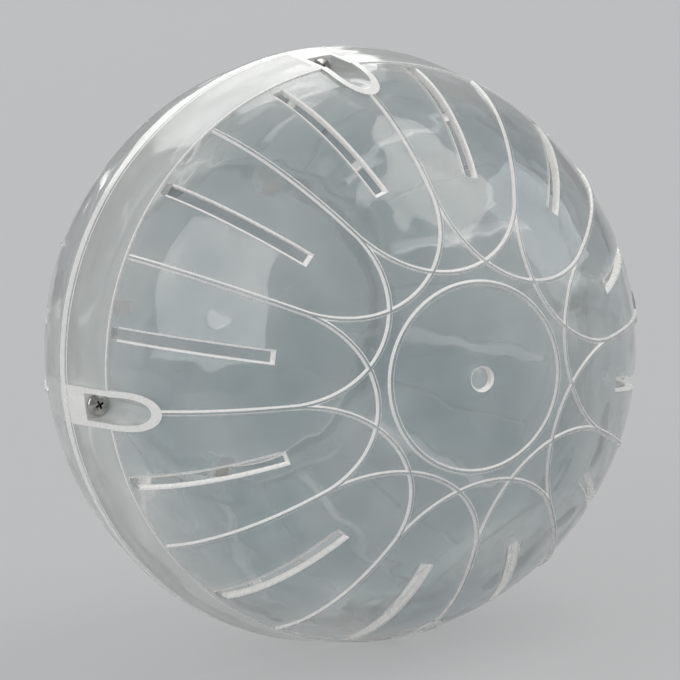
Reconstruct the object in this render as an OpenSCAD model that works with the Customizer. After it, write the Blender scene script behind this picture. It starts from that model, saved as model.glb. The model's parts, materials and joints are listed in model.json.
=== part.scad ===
// Hamster exercise ball: two ribbed, slotted plastic domes that are held
// together by four screws, and a round door in the rear dome.
// The ball's centre is the origin. The front pole is on -Y and the door on +Y.

/* [Ball] */
// Outer radius of the moulded domes
shell_r = 59.2; // [50:0.1:80]
// Thickness of the dome wall
wall = 1.7; // [1.2:0.1:2.4]
// Diameter of the hole at each pole
pole_hole_d = 4.2; // [3:0.1:8]

/* [Band] */
// How far the lip round the seam, the widest line of the ball, stands out past the domes
lip_out = 0.8; // [0.4:0.1:2]
// Thickness of the lip
lip_t = 1; // [0.6:0.1:1.4]
// How far the front dome's lip laps over the rear dome
lip_lap = 3.6; // [2:0.1:6]
// Height of the smooth band on each dome, from the seam to its edge
band_h = 14.7; // [10:0.1:18]
// Step from the dome up to the edge of the band
band_step = 0.3; // [0.1:0.05:0.6]

/* [Air slots] */
// Number of slots on each dome, with a rib between each two
slot_count = 12; // [8:4:16]
// Width of a slot
slot_w = 2.1; // [1.5:0.1:3.5]
// Distance of a slot's inner end from the polar axis
slot_in_r = 37.2; // [36:0.1:45]
// Wall left between a slot's outer end and the dome's outside, at the band
slot_end_wall = 0.6; // [0.3:0.05:1]

/* [Ribs] */
// Width of a rib
rib_w = 0.9; // [0.6:0.05:1.6]
// Height of a rib above the dome
rib_h = 0.5; // [0.2:0.05:0.9]
// Radius of the ring rib round the front pole
ring_r = 18; // [12:0.1:19]
// Distance of the centres of the petal arches from the polar axis
arch_centre_r = 40.8; // [39:0.1:44]

/* [Screws] */
// Distance of the screws' axes from the widest line of the domes, inwards
screw_inset = 2.7; // [2.4:0.1:4]
// Height of the screw seats above the seam
seat_h = 6.4; // [5:0.1:9]
// Gap between a screw's head and the wall of its pocket
pocket_gap = 0.6; // [0.2:0.05:1]
// Wall round a pocket and a screw boss
pocket_wall = 1.2; // [0.8:0.1:1.8]
// Diameter of a screw's pan head
head_d = 4.2; // [3.6:0.1:5.6]
// Height of a screw's pan head
head_h = 1.4; // [1:0.1:2]
// Outer diameter of a screw's thread
thread_d = 2.3; // [2:0.1:3]
// Length of a screw under its head
screw_l = 12; // [10:0.5:16]

/* [Door] */
// Radius of the door's outer edge
door_r = 33.5; // [31:0.1:35]
// Radius of the opening that the door closes
opening_r = 30.5; // [26:0.1:30.8]
// Thickness of the ledge that the door rests on
ledge_t = 1.4; // [1:0.1:2]
// Clearance round the door and under it
door_gap = 0.3; // [0.2:0.05:0.4]
// Number of lugs under the door
lug_count = 4; // [2:1:6]
// Width of a lug
lug_w = 3; // [2:0.1:5]
// Thickness of a lug's stem and of its foot
lug_t = 1.3; // [1:0.1:2]
// How far a lug's foot reaches outwards past its stem
lug_reach = 2.4; // [1.5:0.1:2.6]
// Turn of the lugs from the upright
lug_turn = 18; // [0:1:80]

/* [Hidden] */
$fn = 96;

// Overrun of a cut past the face that it leaves
over = 1;
// How deep one feature is rooted in the piece that carries it
root = 0.4;
// Gap between the lip and the spigot that it laps over
lap_gap = 0.15;
// Gap between the end of the lip and the rear band
seam_gap = 0.3;
// How much narrower an arch is than the rib that it runs into
arch_slim = 0.1;
// How far a rib starts before the point where its two arches touch it
rib_lead = 2.5;
// Play of a screw's thread in its holes
screw_play = 0.05;
// Play of a screw's shank in the front boss
shank_play = 0.2;
// Depth of the bevel at the mouth of a pole hole
pole_bevel = 0.4;
// Depth of the rear boss below the end of a screw
boss_floor = 1.6;
// Diameter and height of the round marks inside the door
mark_d = 2.1;
mark_h = 0.2;
// Places of the marks, as the turn from +X and the angle from the pole
mark_places = [[15, 16.9], [-141, 14.4]];
// Pitch and depth of a screw's thread, and the length of its point
thread_pitch = 0.8;
thread_depth = 0.25;
point_l = 1.6;
// Width, length and depth of the cross recess in a screw's head
cross_w = 0.6;
cross_l = 2.5;
cross_depth = 0.9;
// Height of the straight side of a screw's head, under its dome
head_side = 0.6;

// Colours
clear_plastic = [0.82, 0.88, 0.92, 0.45];
door_plastic = [0.78, 0.85, 0.9, 0.55];
nickel = "silver";

inner_r = shell_r - wall;
lip_r = shell_r + lip_out;
screw_ring_r = shell_r - screw_inset;
lip_in_r = lip_r - lip_t;
spigot_r = lip_in_r - lap_gap;
pitch_angle = 360 / slot_count;
screw_count = 4;

// Distance from the polar axis at height h on a sphere of radius r
function round_at(r, h) = sqrt(r * r - h * h);

band_edge_r = round_at(shell_r, band_h) + band_step;
slot_out_r = round_at(shell_r, band_h) - slot_end_wall;
// The arches touch the ribs on both sides, two ribs apart
arch_r = arch_centre_r * sin(pitch_angle);
arch_touch_r = arch_centre_r * cos(pitch_angle);
arch_w = rib_w - arch_slim;
// Radius of the band at height h, on the straight line from lip to edge
function band_at(h) = lip_r - (lip_r - band_edge_r) * h / band_h;
// Radius of a dome wall's middle at height h
function wall_mid(h) = round_at(shell_r - wall / 2, h);

ledge_out_r = inner_r - door_gap;
ledge_in_r = ledge_out_r - ledge_t;
seat_r = door_r + door_gap;
collar_r = seat_r + ledge_t;
lug_out_r = opening_r - door_gap;
lug_in_r = lug_out_r - lug_t;
foot_r = lug_out_r + lug_reach;
foot_top = round_at(ledge_in_r, foot_r) - door_gap;
pocket_r = head_d / 2 + pocket_gap;
pocket_out_r = pocket_r + pocket_wall;
rear_boss_h = screw_l - seat_h + boss_floor;

// Turns a piece from its pole frame, with the front pole on +Z, to the ball's
module to_ball() {
    rotate([90, 0, 0]) children();
}

// Repeats a feature round the polar axis, first at angle start
module around(count, start = 0) {
    for (i = [0:count - 1]) rotate([0, 0, start + i * 360 / count]) children();
}

// Hollow sphere
module hollow(r_out, r_in) {
    difference() {
        sphere(r_out);
        sphere(r_in);
    }
}

// Everything from height h0 to the pole
module above(h0) {
    translate([-lip_r - over, -lip_r - over, h0])
        cube([2 * (lip_r + over), 2 * (lip_r + over), lip_r + over]);
}

// Half dome without its band
module dome() {
    intersection() {
        hollow(shell_r, inner_r);
        above(0);
    }
}

// Filled outer form of a dome with its band, from height h0
module envelope(r_dome, h0) {
    union() {
        intersection() {
            sphere(r_dome);
            above(band_h - root);
        }
        rotate_extrude()
            polygon([[0, h0], [band_at(h0), h0], [band_edge_r, band_h], [0, band_h]]);
    }
}

// Air slots, cut along the polar axis down to the edge of the band
module slot_cuts() {
    around(slot_count, pitch_angle / 2)
        translate([slot_in_r, -slot_w / 2, band_h])
            cube([slot_out_r - slot_in_r, slot_w, shell_r]);
}

// Plan of the ribs that run down from the radius r_in to the band
module rib_plan(r_in) {
    around(slot_count)
        translate([r_in, -rib_w / 2])
            square([band_edge_r - r_in, rib_w]);
}

// Plan of a petal arch between the ribs on both sides of +X
module arch_plan() {
    intersection() {
        translate([arch_centre_r, 0])
            difference() {
                circle(arch_r + arch_w / 2);
                circle(arch_r - arch_w / 2);
            }
        translate([0, -arch_r - rib_w])
            square([arch_touch_r * cos(pitch_angle), 2 * (arch_r + rib_w)]);
    }
}

// Plan of the ring rib
module ring_plan() {
    difference() {
        circle(ring_r + rib_w / 2);
        circle(ring_r - rib_w / 2);
    }
}

// Raises a plan to rib height on the dome
module raise() {
    intersection() {
        translate([0, 0, band_h]) linear_extrude(height = shell_r) children();
        hollow(shell_r + rib_h, shell_r - root);
    }
}

// Bevelled hole along the polar axis
module pole_hole() {
    translate([0, 0, inner_r / 2]) cylinder(h = shell_r, d = pole_hole_d);
    translate([0, 0, shell_r - pole_bevel])
        cylinder(h = pole_bevel + root, d1 = pole_hole_d, d2 = pole_hole_d + 2 * (pole_bevel + root));
}

// Band of the front dome with the lip that laps over the seam
module front_band() {
    rotate_extrude()
        polygon([
            [lip_in_r, -lip_lap], [lip_r, -lip_lap], [lip_r, 0], [band_edge_r, band_h],
            [wall_mid(band_h), band_h], [wall_mid(0), 0], [lip_in_r, 0]
        ]);
}

// Band of the rear dome with the spigot that goes inside the lip
module rear_band() {
    shoulder = lip_lap + seam_gap;
    rotate_extrude()
        polygon([
            [spigot_r, shoulder], [band_at(shoulder), shoulder], [band_edge_r, band_h],
            [wall_mid(band_h), band_h], [wall_mid(shoulder), shoulder]
        ]);
}

// Plan of a pocket or a boss at each screw, round on the inner side and straight on out
module screw_plan(r) {
    around(screw_count)
        translate([screw_ring_r, 0]) {
            circle(r);
            translate([0, -r]) square([shell_r, 2 * r]);
        }
}

// Walled pockets over the screw bosses, inside the form of the dome
module front_bosses() {
    intersection() {
        linear_extrude(height = shell_r) screw_plan(pocket_out_r);
        envelope(shell_r + rib_h, 0);
    }
}

// Front dome, in its pole frame
module front_dome() {
    difference() {
        union() {
            dome();
            front_band();
            front_bosses();
            raise() rib_plan(arch_touch_r - rib_lead);
            raise() around(slot_count) arch_plan();
            raise() ring_plan();
        }
        slot_cuts();
        pole_hole();
        translate([0, 0, seat_h]) linear_extrude(height = shell_r) screw_plan(pocket_r);
        around(screw_count)
            translate([screw_ring_r, 0, -over])
                cylinder(h = seat_h + 2 * over, d = thread_d + 2 * shank_play);
    }
}

// Rear screw bosses, inside the spigot and the band
module rear_bosses() {
    intersection() {
        linear_extrude(height = rear_boss_h) screw_plan(pocket_out_r);
        rotate_extrude() {
            shoulder = lip_lap + seam_gap;
            polygon([
                [0, 0], [spigot_r, 0], [spigot_r, shoulder], [band_at(shoulder), shoulder],
                [band_edge_r, band_h], [0, band_h]
            ]);
        }
    }
}

// Stepped seat for the door: a ledge under the dome and the collar that carries it
module door_seat() {
    intersection() {
        hollow(ledge_out_r, ledge_in_r);
        cylinder(h = shell_r, r = collar_r);
    }
    intersection() {
        hollow(shell_r, ledge_in_r);
        difference() {
            cylinder(h = shell_r, r = collar_r);
            cylinder(h = shell_r, r = seat_r);
        }
    }
}

// Rear dome, in its pole frame
module rear_dome() {
    difference() {
        union() {
            difference() {
                dome();
                translate([0, 0, inner_r / 2]) cylinder(h = shell_r, r = seat_r);
                difference() {
                    translate([0, 0, -over]) cylinder(h = over + lip_lap + seam_gap, r = lip_r + over);
                    translate([0, 0, -2 * over]) cylinder(h = lip_lap + seam_gap + 3 * over, r = spigot_r);
                }
            }
            rear_band();
            rear_bosses();
            door_seat();
            raise() rib_plan(collar_r - root);
        }
        translate([0, 0, inner_r / 2]) cylinder(h = shell_r, r = opening_r);
        around(lug_count, 90 - lug_turn)
            translate([lug_in_r, -lug_w / 2 - 2 * door_gap, foot_top - lug_t])
                cube([foot_r + 2 * door_gap - lug_in_r, lug_w + 4 * door_gap, shell_r]);
        slot_cuts();
        around(screw_count)
            translate([screw_ring_r, 0, -over])
                cylinder(h = over + screw_l - seat_h + root, d = thread_d + 2 * screw_play);
    }
}

// Lug under the door: a stem inside the opening and a foot that reaches outwards
module lug() {
    stem_top = round_at(inner_r, lug_out_r) + root;
    translate([lug_in_r, -lug_w / 2, foot_top - lug_t])
        cube([lug_t, lug_w, stem_top - foot_top + lug_t]);
    translate([lug_in_r, -lug_w / 2, foot_top - lug_t])
        cube([foot_r - lug_in_r, lug_w, lug_t]);
}

// Door, in its pole frame
module door_cap() {
    difference() {
        union() {
            intersection() {
                hollow(shell_r, inner_r);
                cylinder(h = shell_r, r = door_r);
            }
            around(lug_count, 90 - lug_turn) lug();
            for (p = mark_places)
                rotate([0, 0, p[0]]) rotate([0, p[1], 0])
                    translate([0, 0, inner_r - mark_h]) cylinder(h = mark_h + root, d = mark_d);
        }
        pole_hole();
    }
}

// Self-tapping pan head screw, head up, seat at the origin
module pan_screw() {
    turns = floor((screw_l - point_l) / thread_pitch);
    core_r = thread_d / 2 - thread_depth;
    dome_r = (head_d * head_d / 4 + (head_h - head_side) * (head_h - head_side)) / (2 * (head_h - head_side));
    difference() {
        union() {
            cylinder(h = head_side, d = head_d);
            intersection() {
                translate([0, 0, head_h - dome_r]) sphere(dome_r);
                translate([0, 0, head_side - root / 2]) cylinder(h = head_h, d = head_d);
            }
        }
        for (a = [0, 90])
            rotate([0, 0, a]) translate([-cross_l / 2, -cross_w / 2, head_h - cross_depth])
                cube([cross_l, cross_w, head_h]);
    }
    rotate_extrude()
        polygon(concat(
            [[0, 0], [core_r, 0]],
            [for (i = [0:turns - 1]) each [
                [core_r, -i * thread_pitch - thread_pitch / 4],
                [thread_d / 2, -(i + 1 / 2) * thread_pitch],
                [core_r, -(i + 1) * thread_pitch + thread_pitch / 4]
            ]],
            [[core_r, point_l - screw_l], [0, -screw_l]]
        ));
}

// One screw in its seat, at a turn round the polar axis
module seated_screw(turn) {
    color(nickel) to_ball() rotate([0, 0, turn]) translate([screw_ring_r, 0, seat_h]) pan_screw();
}

module front_shell() {
    color(clear_plastic) to_ball() front_dome();
}

module back_shell() {
    color(clear_plastic) to_ball() mirror([0, 0, 1]) rear_dome();
}

module door() {
    color(door_plastic) to_ball() mirror([0, 0, 1]) door_cap();
}

module screw_left() { seated_screw(180); }
module screw_top() { seated_screw(90); }
module screw_right() { seated_screw(0); }
module screw_bottom() { seated_screw(-90); }

front_shell();
back_shell();
door();
screw_left();
screw_top();
screw_right();
screw_bottom();
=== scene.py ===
"""Looks of a clear plastic hamster ball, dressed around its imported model.

The ball's centre is the origin, the front pole is on -Y and the door on +Y. Each dome is modelled
in its pole frame, with the seam at height 0 and the pole on +Z, and is then turned to its place.
Lengths are in metres, and angles in radians where a comment doesn't say degrees.
"""

from __future__ import annotations

import json
import logging
import math
from dataclasses import dataclass, field
from enum import Enum
from typing import Callable, Sequence

import bmesh
import bpy
from bpy.types import Material, Node, NodeSocket, NodeTree, Object
from mathutils import Matrix, Vector

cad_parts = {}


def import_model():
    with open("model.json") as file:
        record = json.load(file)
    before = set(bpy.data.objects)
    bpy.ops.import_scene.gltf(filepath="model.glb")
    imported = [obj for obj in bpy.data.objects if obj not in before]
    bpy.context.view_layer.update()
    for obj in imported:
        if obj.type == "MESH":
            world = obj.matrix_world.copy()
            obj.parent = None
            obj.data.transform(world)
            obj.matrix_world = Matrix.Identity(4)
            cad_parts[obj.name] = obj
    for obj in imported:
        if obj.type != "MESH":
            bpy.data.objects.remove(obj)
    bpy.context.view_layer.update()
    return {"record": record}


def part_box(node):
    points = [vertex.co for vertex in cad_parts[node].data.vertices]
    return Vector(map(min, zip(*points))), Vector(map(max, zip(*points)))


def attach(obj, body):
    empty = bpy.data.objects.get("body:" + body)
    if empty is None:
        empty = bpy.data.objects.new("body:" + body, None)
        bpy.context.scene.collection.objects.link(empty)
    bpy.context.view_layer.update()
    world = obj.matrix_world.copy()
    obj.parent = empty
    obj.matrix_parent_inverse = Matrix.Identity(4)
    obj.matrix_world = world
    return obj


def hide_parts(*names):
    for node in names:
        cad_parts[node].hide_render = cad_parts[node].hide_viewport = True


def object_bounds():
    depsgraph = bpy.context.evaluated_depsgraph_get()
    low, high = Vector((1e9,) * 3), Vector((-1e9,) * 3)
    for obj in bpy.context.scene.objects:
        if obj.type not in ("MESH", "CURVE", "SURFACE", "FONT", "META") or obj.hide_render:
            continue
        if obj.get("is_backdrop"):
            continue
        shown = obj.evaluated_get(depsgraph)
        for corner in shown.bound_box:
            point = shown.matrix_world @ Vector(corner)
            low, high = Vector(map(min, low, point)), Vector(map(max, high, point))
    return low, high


log = logging.getLogger("hamster_ball")

MM = 0.001
# Distance under which two points of a mesh are one
WELD = 0.0005 * MM
# How far a point may lie off a surface that it counts as being on
ON_SURFACE = 0.02 * MM
# How far a face's centre may lie off a place that it counts as being at: a bore or a floor, a
# wall's inner side or a recess's floor, a slot, and the band's top
NEAR = 0.05 * MM
NEAR_WALL = 0.1 * MM
NEAR_SLOT = 0.3 * MM
NEAR_BAND = 0.01 * MM
# A face is a side, and not skin, where the cosine between its normal and the sphere's is under
# this: at a slot, a seat or a lug, at a pole hole's mouth, at the door's rim and at a rib
SIDE_LEAN = 0.9
MOUTH_LEAN = 0.95
RIM_LEAN = 0.97
RIB_LEAN = 0.975
# Over this it is near enough to the sphere's own to be one of the sphere's faces
SPHERE_LEAN = math.cos(math.radians(4))
# Edges blunter than this are smooth
SMOOTH_ANGLE = math.radians(32)
# Steps of a channel's round side, and sides of a bore
ROUND_STEPS = 32

Point = tuple[float, float]
Rule = Callable[[Vector, Vector], Enum]


class Look(Enum):
    """The finishes of a moulded piece, by their place among its material slots."""

    CLEAR = 0
    MILKY = 1
    # Near-white plastic: a painted highlight on the sides and rims of ribs, slots, lips, seats and
    # pole holes, and the solid screw bosses whitened
    EDGE = 2


class Metal(Enum):
    """The finishes of a screw, by their place among its material slots."""

    PLATE = 0
    # Near-black nickel in the cross recess: painted shade
    RECESS = 1


class Pole(Enum):
    """The turn from a dome's pole frame to the ball's frame."""

    FRONT = Matrix(((1, 0, 0), (0, 0, -1), (0, 1, 0)))
    REAR = Matrix(((1, 0, 0), (0, 0, 1), (0, 1, 0)))


class Join(Enum):
    """What a second mesh does to the first."""

    ADD = "UNION"
    CUT = "DIFFERENCE"
    KEEP = "INTERSECT"


@dataclass(frozen=True)
class BallSizes:
    """Driving sizes of the ball, as they are moulded."""

    lip_r: float
    shell_r: float = 59.2 * MM
    wall: float = 1.7 * MM
    hole_r: float = 2.1 * MM
    hole_bevel: float = 0.4 * MM
    lip_t: float = 1.0 * MM
    lip_lap: float = 3.6 * MM
    seam_gap: float = 0.3 * MM
    lap_gap: float = 0.15 * MM
    band_h: float = 14.7 * MM
    band_step: float = 0.3 * MM
    slot_w: float = 2.1 * MM
    slot_in_r: float = 37.2 * MM
    slot_end_wall: float = 0.6 * MM
    rib_w: float = 0.9 * MM
    arch_w: float = 0.8 * MM
    rib_h: float = 0.5 * MM
    rib_root: float = 0.4 * MM
    rib_lead: float = 2.5 * MM
    ring_r: float = 18.0 * MM
    arch_centre_r: float = 40.8 * MM
    screw_ring_r: float = 56.5 * MM
    seat_h: float = 6.4 * MM
    pocket_r: float = 2.7 * MM
    pocket_wall: float = 1.2 * MM
    screw_l: float = 12.0 * MM
    thread_r: float = 1.15 * MM
    door_r: float = 33.5 * MM
    opening_r: float = 30.5 * MM
    ledge_t: float = 1.4 * MM
    door_gap: float = 0.3 * MM
    # How far the bosses stay inside the band's skin, which keeps its own faces over them
    boss_inset: float = 0.02 * MM
    sectors: int = 12
    screws: int = 4
    # Steps of a full turn
    turn_steps: int = 192

    @property
    def step(self) -> float:
        """Angle of one step of a full turn."""
        return math.tau / self.turn_steps

    @property
    def inner_r(self) -> float:
        """Inner radius of a dome's wall."""
        return self.shell_r - self.wall

    @property
    def band_edge_r(self) -> float:
        """Radius of the band's upper edge."""
        return on_sphere(self.shell_r, self.band_h) + self.band_step

    @property
    def pitch(self) -> float:
        """Angle from one rib to the next."""
        return math.tau / self.sectors

    @property
    def seat_r(self) -> float:
        """Radius of the seat that the door lies in."""
        return self.door_r + self.door_gap

    @property
    def ledge_out_r(self) -> float:
        """Sphere radius of the ledge's upper side."""
        return self.inner_r - self.door_gap

    @property
    def ledge_in_r(self) -> float:
        """Sphere radius of the ledge's underside."""
        return self.ledge_out_r - self.ledge_t

    @property
    def pocket_out_r(self) -> float:
        """Outer radius of a pocket's wall and of a screw boss."""
        return self.pocket_r + self.pocket_wall

    @property
    def hub_r(self) -> float:
        """Distance from the pole axis inside which no boss reaches."""
        return self.screw_ring_r - self.pocket_out_r - self.pocket_wall

    @property
    def shoulder(self) -> float:
        """Height of the rear dome's shoulder, which the lip's edge stops short of."""
        return self.lip_lap + self.seam_gap

    @property
    def spigot_r(self) -> float:
        """Outer radius of the rear dome's spigot."""
        return self.lip_r - self.lip_t - self.lap_gap

    @property
    def mouth_r(self) -> float:
        """Radius of a pole hole's mouth."""
        return self.hole_r + self.hole_bevel

    @property
    def mouth_foot(self) -> Point:
        """Point of a profile where a pole hole's mouth meets its bore."""
        return (self.hole_r, on_sphere(self.shell_r, self.hole_r) - self.hole_bevel)

    @property
    def band_top(self) -> list[Point]:
        """Points of a profile at the band's rounded upper edge."""
        corner = (self.band_edge_r, self.band_h)
        return rounded(corner, (0, self.band_h), (self.lip_r, 0), 0.5 * self.band_step)

    @property
    def screw_turns(self) -> list[float]:
        """Angles of the screws round the pole axis."""
        return [i * math.tau / self.screws for i in range(self.screws)]

    def band_at(self, height: float) -> float:
        """Radius of the band at a height over the seam."""
        return self.lip_r - (self.lip_r - self.band_edge_r) * height / self.band_h


def on_sphere(radius: float, other: float) -> float:
    """Distance from one axis of a point on a sphere, from its distance along the other."""
    return math.sqrt(radius * radius - other * other)


def arc(radius: float, start: float, end: float, step: float) -> list[Point]:
    """Points on a dome's profile between two angles from the pole.

    Args:
        radius: Radius of the sphere.
        start: Angle of the first point.
        end: Angle of the last point.
        step: Largest angle between two points.

    Returns:
        The points, as distance from the axis and height.
    """
    count = max(1, round(abs(end - start) / step))
    angles = [start + (end - start) * i / count for i in range(count + 1)]
    return [(radius * math.sin(a), radius * math.cos(a)) for a in angles]


def rounded(
    corner: Point, before: Point, after: Point, radius: float, steps: int = 3
) -> list[Point]:
    """Rounds one corner of an outline.

    Args:
        corner: The sharp corner.
        before: Any point on the side that runs to the corner.
        after: Any point on the side that runs on from it.
        radius: Radius of the rounding.
        steps: Steps of the rounding.

    Returns:
        The points that take the corner's place.
    """
    here = Vector(corner)
    back = (Vector(before) - here).normalized()
    forth = (Vector(after) - here).normalized()
    half = back.angle(forth) / 2
    reach = radius / math.tan(half)
    centre = here + (back + forth).normalized() * radius / math.sin(half)
    spoke = here + back * reach - centre
    turn = spoke.angle_signed(here + forth * reach - centre)
    # A signed angle counts clockwise, and a rotation the other way
    turns = [Matrix.Rotation(-turn * i / steps, 2) for i in range(steps + 1)]
    return [tuple(centre + way @ spoke) for way in turns]


def mirrored(side: Sequence[Point]) -> list[Point]:
    """An outline of one side and its mirror image."""
    return [*side, *((-x, z) for x, z in reversed(side))]


def turn_by(degrees: float, axis: str = "Z") -> Matrix:
    """A turn round one axis, in degrees."""
    return Matrix.Rotation(math.radians(degrees), 4, axis)


def set_all(target: object, values: dict[str, object]) -> None:
    """Sets several properties of a thing by their names."""
    for name, value in values.items():
        setattr(target, name, value)


def deselect() -> None:
    """Leaves nothing selected, so that the next operator acts on the new piece alone."""
    bpy.ops.object.select_all(action="DESELECT")


def activate(piece: Object) -> None:
    """Selects one piece alone and makes it the active one.

    Args:
        piece: The piece.
    """
    deselect()
    piece.select_set(True)
    bpy.context.view_layer.objects.active = piece


def start_piece(name: str, primitive: Callable[..., set[str]], **values: object) -> Object:
    """Adds a primitive that a piece starts from, with its place in its mesh.

    Args:
        name: Name of the new piece.
        primitive: The operator that adds the primitive.
        values: The operator's settings.

    Returns:
        The piece.
    """
    deselect()
    primitive(**values)
    bpy.ops.object.transform_apply(location=True, rotation=True, scale=True)
    piece = bpy.context.object
    piece.name = piece.data.name = name
    return piece


def copy_to(piece: Object, place: Matrix) -> Object:
    """Copies a piece with its mesh, which is moved by a matrix.

    Args:
        piece: The piece, which stays.
        place: Where the copy goes.

    Returns:
        The copy.
    """
    copy = piece.copy()
    copy.data = piece.data.copy()
    bpy.context.scene.collection.objects.link(copy)
    copy.data.transform(place)
    return copy


def apply_modifier(piece: Object, kind: str, **values: object) -> None:
    """Works a modifier into a piece.

    Args:
        piece: The piece.
        kind: Blender's name of the modifier's type.
        values: Its properties.
    """
    activate(piece)
    modifier = piece.modifiers.new(kind.lower(), kind)
    set_all(modifier, values)
    bpy.ops.object.modifier_apply(modifier=modifier.name)


def select_ends(piece: Object) -> None:
    """Selects the two loose ends of the line in edit mode.

    Args:
        piece: The piece that is being edited.
    """
    bpy.ops.mesh.select_all(action="DESELECT")
    mesh = bmesh.from_edit_mesh(piece.data)
    for vertex in mesh.verts:
        vertex.select = len(vertex.link_edges) == 1
    bmesh.update_edit_mesh(piece.data)


def draw_outline(name: str, outline: Sequence[Vector]) -> Object:
    """Draws a closed line by extruding one vertex from point to point, and stays in edit mode.

    Args:
        name: Name of the new piece.
        outline: Its corners, in order.

    Returns:
        The piece, with the whole line selected.
    """
    piece = start_piece(name, bpy.ops.mesh.primitive_plane_add, size=MM)
    bpy.ops.object.mode_set(mode="EDIT")
    bpy.ops.mesh.select_all(action="SELECT")
    bpy.ops.mesh.merge(type="CENTER")
    bpy.ops.transform.translate(value=outline[0])
    for here, there in zip(outline, outline[1:]):
        bpy.ops.mesh.extrude_region_move(TRANSFORM_OT_translate={"value": there - here})
    select_ends(piece)
    bpy.ops.mesh.edge_face_add()
    bpy.ops.mesh.select_all(action="SELECT")
    return piece


def tidy_mesh() -> None:
    """Welds doubled points, turns all faces outwards and leaves edit mode."""
    bpy.ops.mesh.select_all(action="SELECT")
    bpy.ops.mesh.remove_doubles(threshold=WELD)
    bpy.ops.mesh.normals_make_consistent(inside=False)
    bpy.ops.object.mode_set(mode="OBJECT")


def lathe(name: str, profile: Sequence[Point], steps: int) -> Object:
    """Spins a closed profile all round the pole axis.

    Args:
        name: Name of the new piece.
        profile: Its corners, as distance from the axis and height.
        steps: Steps of the full turn.

    Returns:
        The closed solid.
    """
    piece = draw_outline(name, [Vector((r, 0, z)) for r, z in profile])
    bpy.ops.mesh.spin(steps=steps, angle=math.tau, center=(0, 0, 0), axis=(0, 0, 1))
    tidy_mesh()
    return piece


def sweep(
    name: str, outline: Sequence[Vector], turn: float, steps: int, centre: Vector, axis: Vector
) -> Object:
    """Spins a closed outline through part of a turn and closes both ends.

    Args:
        name: Name of the new piece.
        outline: Its corners, in order.
        turn: Angle of the sweep, which turns as a right hand does round the axis.
        steps: Steps of the sweep.
        centre: A point on the axis.
        axis: Direction of the axis.

    Returns:
        The closed solid.
    """
    piece = draw_outline(name, outline)
    # Spin turns the other way round its axis
    bpy.ops.mesh.spin(steps=steps, angle=-turn, center=centre, axis=axis)
    bpy.ops.mesh.edge_face_add()
    bpy.ops.mesh.select_all(action="DESELECT")
    bpy.ops.mesh.select_non_manifold()
    bpy.ops.mesh.edge_face_add()
    tidy_mesh()
    return piece


def sweep_down(
    name: str, section: Sequence[Point], start: float, end: float, step: float
) -> Object:
    """Sweeps a cross-section down over a dome on the side of +X, and closes both ends.

    Args:
        name: Name of the new piece.
        section: Its corners, as distance across and sphere radius.
        start: Angle of the upper end from the pole.
        end: Angle of the lower end from the pole.
        step: Angle of one step, before it is fitted to the length.

    Returns:
        The closed solid.
    """
    outline = [Vector((math.sin(start) * r, across, math.cos(start) * r)) for across, r in section]
    turn = end - start
    return sweep(name, outline, turn, round(turn / step), Vector(), Vector((0, 1, 0)))


def block(name: str, low: Vector, high: Vector) -> Object:
    """Adds a block between two corners, as a cutter or the start of a piece.

    Args:
        name: Name of the new piece.
        low: Lowest corner.
        high: Highest corner.

    Returns:
        The block.
    """
    centre, size = (low + high) / 2, high - low
    return start_piece(name, bpy.ops.mesh.primitive_cube_add, size=1, location=centre, scale=size)


def rod(
    name: str, radius: float, low: float, high: float, centre_r: float = 0, sides: int = ROUND_STEPS
) -> Object:
    """Adds an upright rod, as a cutter or the start of a piece.

    Args:
        name: Name of the new piece.
        radius: Radius of the rod.
        low: Height of its lower end.
        high: Height of its upper end.
        centre_r: Distance of its axis from the pole axis, along +X.
        sides: Number of sides.

    Returns:
        The rod.
    """
    return start_piece(
        name,
        bpy.ops.mesh.primitive_cylinder_add,
        vertices=sides,
        radius=radius,
        depth=high - low,
        location=(centre_r, 0, (low + high) / 2),
    )


def prism(name: str, outline: Sequence[Vector], along: Vector) -> Object:
    """Extrudes a flat outline in a straight line.

    Args:
        name: Name of the new piece.
        outline: Its corners, in order.
        along: From the outline to the far end.

    Returns:
        The closed solid.
    """
    piece = draw_outline(name, outline)
    bpy.ops.mesh.edge_face_add()
    bpy.ops.mesh.extrude_region_move(TRANSFORM_OT_translate={"value": along})
    tidy_mesh()
    return piece


def channel(
    name: str, radius: float, low: float, high: float, centre_r: float, out_r: float
) -> Object:
    """Adds an upright piece that is round on its inner side and runs straight on outwards.

    Args:
        name: Name of the new piece.
        radius: Radius of the round side, and half of the width.
        low: Height of its lower end.
        high: Height of its upper end.
        centre_r: Distance of the round side's axis from the pole axis, along +X.
        out_r: Distance of the straight part's end from the pole axis.

    Returns:
        The piece.
    """
    angles = [math.pi / 2 + math.pi * i / ROUND_STEPS for i in range(ROUND_STEPS + 1)]
    outline = [Vector((centre_r + radius * math.cos(a), radius * math.sin(a), low)) for a in angles]
    outline += [Vector((out_r, -radius, low)), Vector((out_r, radius, low))]
    return prism(name, outline, Vector((0, 0, high - low)))


def around(piece: Object, angles: Sequence[float]) -> Object:
    """Repeats a piece round the pole axis, as one mesh.

    Args:
        piece: The piece, which the ring of copies takes the place of.
        angles: The angle of each copy.

    Returns:
        The ring.
    """
    copies = [copy_to(piece, Matrix.Rotation(angle, 4, "Z")) for angle in angles]
    bpy.data.objects.remove(piece)
    deselect()
    for copy in copies:
        copy.select_set(True)
    bpy.context.view_layer.objects.active = copies[0]
    if len(copies) > 1:
        bpy.ops.object.join()
    return copies[0]


def combine(piece: Object, tool: Object, join: Join) -> None:
    """Adds, cuts or intersects a mesh with another, which is used up.

    Args:
        piece: The mesh that stays.
        tool: The mesh that works on it.
        join: What it does.
    """
    apply_modifier(piece, "BOOLEAN", operation=join.value, solver="MANIFOLD", object=tool)
    bpy.data.objects.remove(tool)


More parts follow.
